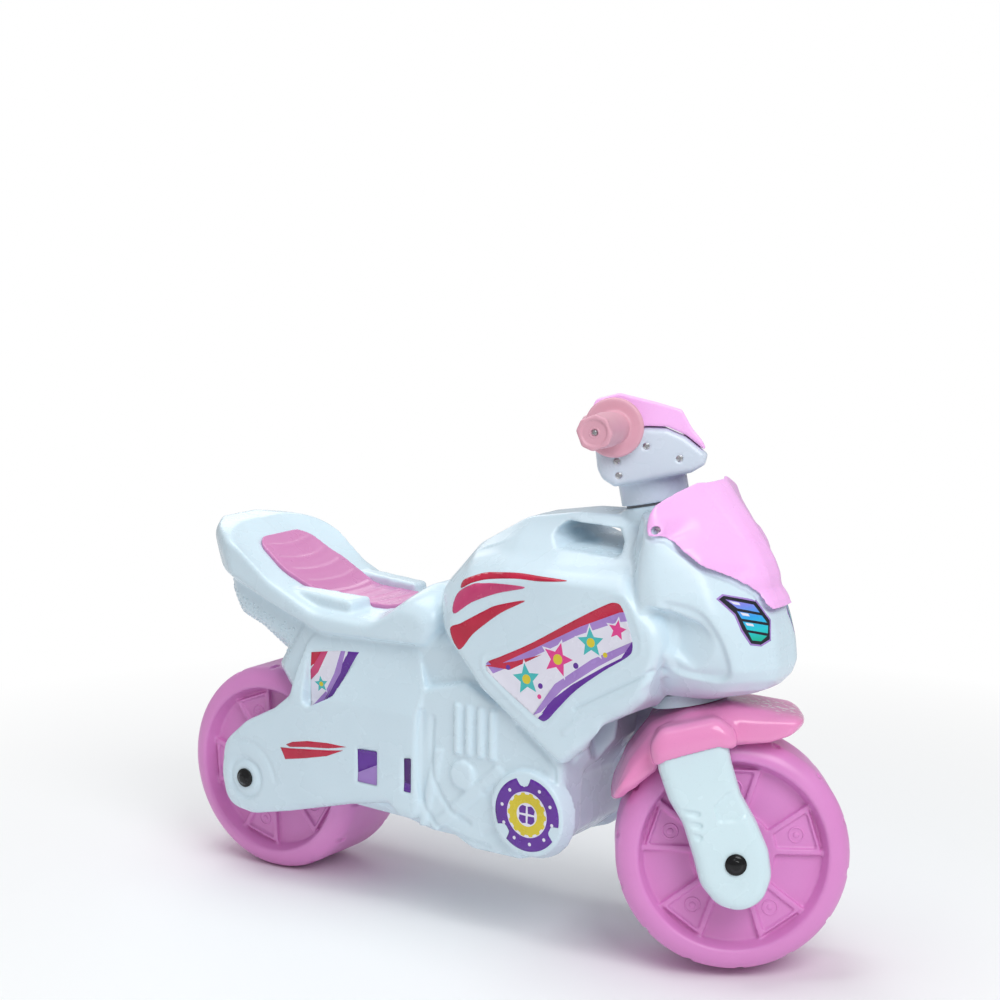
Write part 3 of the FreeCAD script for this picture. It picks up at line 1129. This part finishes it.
def axle(label, place):
    """A steel rod through both arms or legs."""
    rod = doc.addObject("Part::Cylinder", label)
    rod.Label = label
    rod.setExpression("Radius", "sizes.axle_radius")
    half = "(sizes.wheel_width / 2 + sizes.wheel_side_gap + sizes.arm_thickness + sizes.axle_overhang)"
    rod.setExpression("Height", f"2 * {half}")
    rod.Placement = place * Placement(Vector(0, 0, -value_of(half)), Rotation())
    NODES.append(rod)


def fork_collar():
    top = "collar_bottom + collar_height"
    bore = "stem_radius + running_gap"
    return turned_body("fork_collar", bound([
        (bore, "collar_bottom"), ("collar_foot_radius", "collar_bottom"),
        ("collar_radius", top), (bore, top),
    ]))


def steering_stem():
    """The steering tube, open below and closed above by a tapped plug."""
    foot, plug = "crown_bottom + stem_socket_floor", "stem_top - stem_plug"
    inside = "stem_radius - stem_wall"
    return turned_body("steering_stem", bound([
        (inside, foot), ("stem_radius", foot), ("stem_radius", "stem_top"), ("bolt_radius", "stem_top"),
        ("bolt_radius", plug), (inside, plug),
    ]))


def neck_bush(name, sleeve_end, flange_way):
    """A plain bush at one end of the neck. flange_way is + at the upper and - at the lower end."""
    bore, sleeve = "stem_radius + running_gap", "stem_radius + running_gap + bush_wall"
    inward = "-" if flange_way == "+" else "+"
    start = f"{sleeve_end} {inward} neck_bush_length"
    rim = f"{sleeve_end} {flange_way} neck_bush_flange_length"
    return turned_body(name, bound([
        (bore, start), (sleeve, start), (sleeve, sleeve_end), ("neck_bush_flange_radius", sleeve_end),
        ("neck_bush_flange_radius", rim), (bore, rim),
    ]))


def stem_bolt():
    """The steering bolt: washer, hexagon head and shank in one."""
    top = "stem_top + washer_height"
    end = "stem_top - bolt_length"
    body = turned_body("stem_bolt", bound([
        ("0", end), ("bolt_radius", end), ("bolt_radius", "stem_top"),
        ("washer_radius", "stem_top"), ("washer_radius", top), ("0", top),
    ]))
    hexagon_radius = "sizes.bolt_hex_radius"
    corners = [(f"{hexagon_radius} * cos({angle})", f"{hexagon_radius} * sin({angle})")
               for angle in range(0, 360, 60)]
    corners = [(x, "0" if i % 3 == 0 else y) for i, (x, y) in enumerate(corners)]
    lift = "sizes.stem_top + sizes.washer_height"
    hexagon = bound_sketch(body, "stem_bolt_hexagon", "XY_Plane", corners, lift)
    pad = body.newObject("PartDesign::Pad", "stem_bolt_head")
    pad.Profile = hexagon
    pad.setExpression("Length", "sizes.bolt_hex_height")
    doc.recompute()
    return body


def screw(name):
    """A self-tapping screw: pan head with a cross slot, its underside at the origin."""
    body = turned_body(name, bound([
        ("0", "-screw_length"), ("screw_shank_radius", "-screw_length + screw_head_height"),
        ("screw_shank_radius", "0"), ("screw_head_radius", "0"),
        ("screw_head_radius", "screw_head_height / 2"), ("screw_head_radius / 2", "screw_head_height"),
        ("0", "screw_head_height"),
    ]))
    near, far = "sizes.screw_slot_width / 2", "(sizes.screw_head_radius - sizes.screw_slot_width)"
    corners = [
        (near, near), (near, far), ("-" + near, far), ("-" + near, near), ("-" + far, near),
        ("-" + far, "-" + near), ("-" + near, "-" + near), ("-" + near, "-" + far), (near, "-" + far),
        (near, "-" + near), (far, "-" + near), (far, near),
    ]
    cross = bound_sketch(body, name + "_cross", "XY_Plane", corners, "sizes.screw_head_height")
    slot = body.newObject("PartDesign::Pocket", name + "_slot")
    slot.Profile = cross
    slot.setExpression("Length", "sizes.screw_slot_depth")
    doc.recompute()
    return body


def grip(name):
    """A pink grip: round hand guard, bellied barrel and an eight-sided end with a screw hole."""
    bore, depth = "bar_radius + running_gap", "bar_half_length - grip_start + seat_gap"
    body = turned_body(name, bound([
        (bore, "0"), ("guard_radius", "0"), ("guard_radius", "guard_length"),
        ("grip_radius", "guard_length"), ("grip_belly_radius", "(guard_length + grip_length) / 2"),
        ("grip_radius", "grip_length"), ("0", "grip_length"), ("0", depth), (bore, depth),
    ]))
    round_edges(
        body, name + "_guard_rim", "sizes.guard_fillet",
        lambda e: hasattr(e.Curve, "Radius") and abs(e.Curve.Radius - dim.guard_radius) < dim.running_gap,
    )
    half, cut = "sizes.grip_end_half", "(sizes.grip_end_half - sizes.grip_end_corner)"
    corners = [
        (half, "-" + cut), (half, cut), (cut, half), ("-" + cut, half), ("-" + half, cut),
        ("-" + half, "-" + cut), ("-" + cut, "-" + half), (cut, "-" + half),
    ]
    outline = bound_sketch(body, name + "_end_outline", "XY_Plane", corners, "sizes.grip_length")
    pad = body.newObject("PartDesign::Pad", name + "_end")
    pad.Profile = outline
    pad.setExpression("Length", "sizes.grip_end_length")
    doc.recompute()
    end = "sizes.grip_length + sizes.grip_end_length"
    circle_pocket(body, name + "_hole", "sizes.grip_hole_radius", end, "sizes.grip_hole_depth")
    pilot = "sizes.screw_shank_radius + sizes.running_gap"
    circle_pocket(body, name + "_pilot", pilot, end, "2 * sizes.grip_end_length")
    return body


# Nodes

def feature_node(label, shape, place):
    """A node whose shape Part's functions made."""
    item = doc.addObject("Part::Feature", label)
    item.Label = label
    item.Shape = shape
    item.Placement = place
    NODES.append(item)


def body_node(body, label, place):
    body.Label = label
    body.Placement = place
    NODES.append(body)


def group_node(label, bodies, place):
    """A node of several like solids."""
    group = doc.addObject("Part::Compound", label)
    group.Label = label
    group.Links = bodies
    group.Placement = place
    NODES.append(group)


def mirrored_node(body, label, place):
    """A node of two solids: the body, its axis turned across the toy, and its mirror image."""
    body.Placement = Placement(Vector(0, 0, 0), ALONG_Y)
    twin = doc.addObject("Part::Mirroring", label + "_twin")
    twin.Source = body
    twin.Normal = Vector(0, 1, 0)
    group_node(label, [body, twin], place)


def screws_node(label, places, place):
    bodies = []
    for i, spot in enumerate(places, start=1):
        body = screw(f"{label}_{i}")
        body.Placement = spot
        bodies.append(body)
    group_node(label, bodies, place)


REAR_AXLE = CHASSIS * Placement(Vector(0, 0, dim.wheel_radius), Rotation())
FRONT_AXLE = TURNED * Placement(Vector(dim.fork_offset, 0, 0), Rotation())
IN_LINE = Placement(Vector(0, 0, 0), ALONG_Y)


def wheel_turn(angle):
    """The turn of a resting wheel about its own axle."""
    return Placement(Vector(0, 0, 0), Rotation(Vector(0, 0, 1), -angle))


seat_form = seat_base()
feature_node("main_body", main_body(seat_form), CHASSIS)
feature_node("seat_pad", seat_pad(seat_form), CHASSIS)
feature_node("windshield", windshield(), CHASSIS)
screws_node("windshield_screws", shield_screw_places(), CHASSIS)
body_node(neck_bush("upper_neck_bush", "neck_top", "+"), "upper_neck_bush", RAKED)
body_node(neck_bush("lower_neck_bush", "neck_bottom", "-"), "lower_neck_bush", RAKED)

axle("rear_axle", REAR_AXLE * IN_LINE)
mirrored_node(axle_cap("rear_cap"), "rear_axle_caps", REAR_AXLE)
mirrored_node(wheel_spacer("rear_spacer"), "rear_wheel_spacers", REAR_AXLE)
body_node(wheel("rear_wheel"), "rear_wheel", REAR_AXLE * IN_LINE * wheel_turn(dim.rear_wheel_rest))
mirrored_node(wheel_bush("rear_bush"), "rear_wheel_bushes", REAR_AXLE)

feature_node("fork", fork(), TURNED)
feature_node("front_fender", front_fender(), TURNED)
screws_node("fender_screws", fender_screw_places(), TURNED)
body_node(fork_collar(), "fork_collar", TURNED)
body_node(steering_stem(), "steering_stem", TURNED)
body_node(stem_bolt(), "stem_bolt", TURNED)
axle("front_axle", FRONT_AXLE * IN_LINE)
mirrored_node(axle_cap("front_cap"), "front_axle_caps", FRONT_AXLE)
mirrored_node(wheel_spacer("front_spacer"), "front_wheel_spacers", FRONT_AXLE)
body_node(wheel("front_wheel"), "front_wheel", FRONT_AXLE * IN_LINE * wheel_turn(dim.front_wheel_rest))
mirrored_node(wheel_bush("front_bush"), "front_wheel_bushes", FRONT_AXLE)

feature_node("handlebar_head", handlebar_head(), TURNED)
feature_node("dash_cover", dash_cover(), TURNED)
screws_node("handlebar_screws", handlebar_screw_places(), TURNED)
feature_node("handlebar_tube", handlebar_tube(), TURNED)
body_node(grip("left_grip"), "left_grip", TURNED * bar_place(dim.grip_start, 1))
body_node(grip("right_grip"), "right_grip", TURNED * bar_place(dim.grip_start, -1))
end_seat = dim.grip_start + dim.grip_length + dim.grip_end_length - dim.grip_hole_depth
screws_node("grip_end_screws", [bar_place(end_seat, side) for side in (1, -1)], TURNED)

doc.recompute()
for item in doc.Objects:
    if "Invalid" in item.State or "Error" in item.State:
        raise ValueError(f"{item.Name} did not build: {item.State}")
for item in NODES:
    if item.Shape.isNull() or not item.Shape.isValid():
        raise ValueError(f"{item.Label} has no sound shape")
os.makedirs("parts", exist_ok=True)
for item in NODES:
    item.Shape.exportStep(f"parts/{item.Label}.step")
    print(item.Label, len(item.Shape.Solids), "solids of", round(item.Shape.Volume), "cubic millimetres")
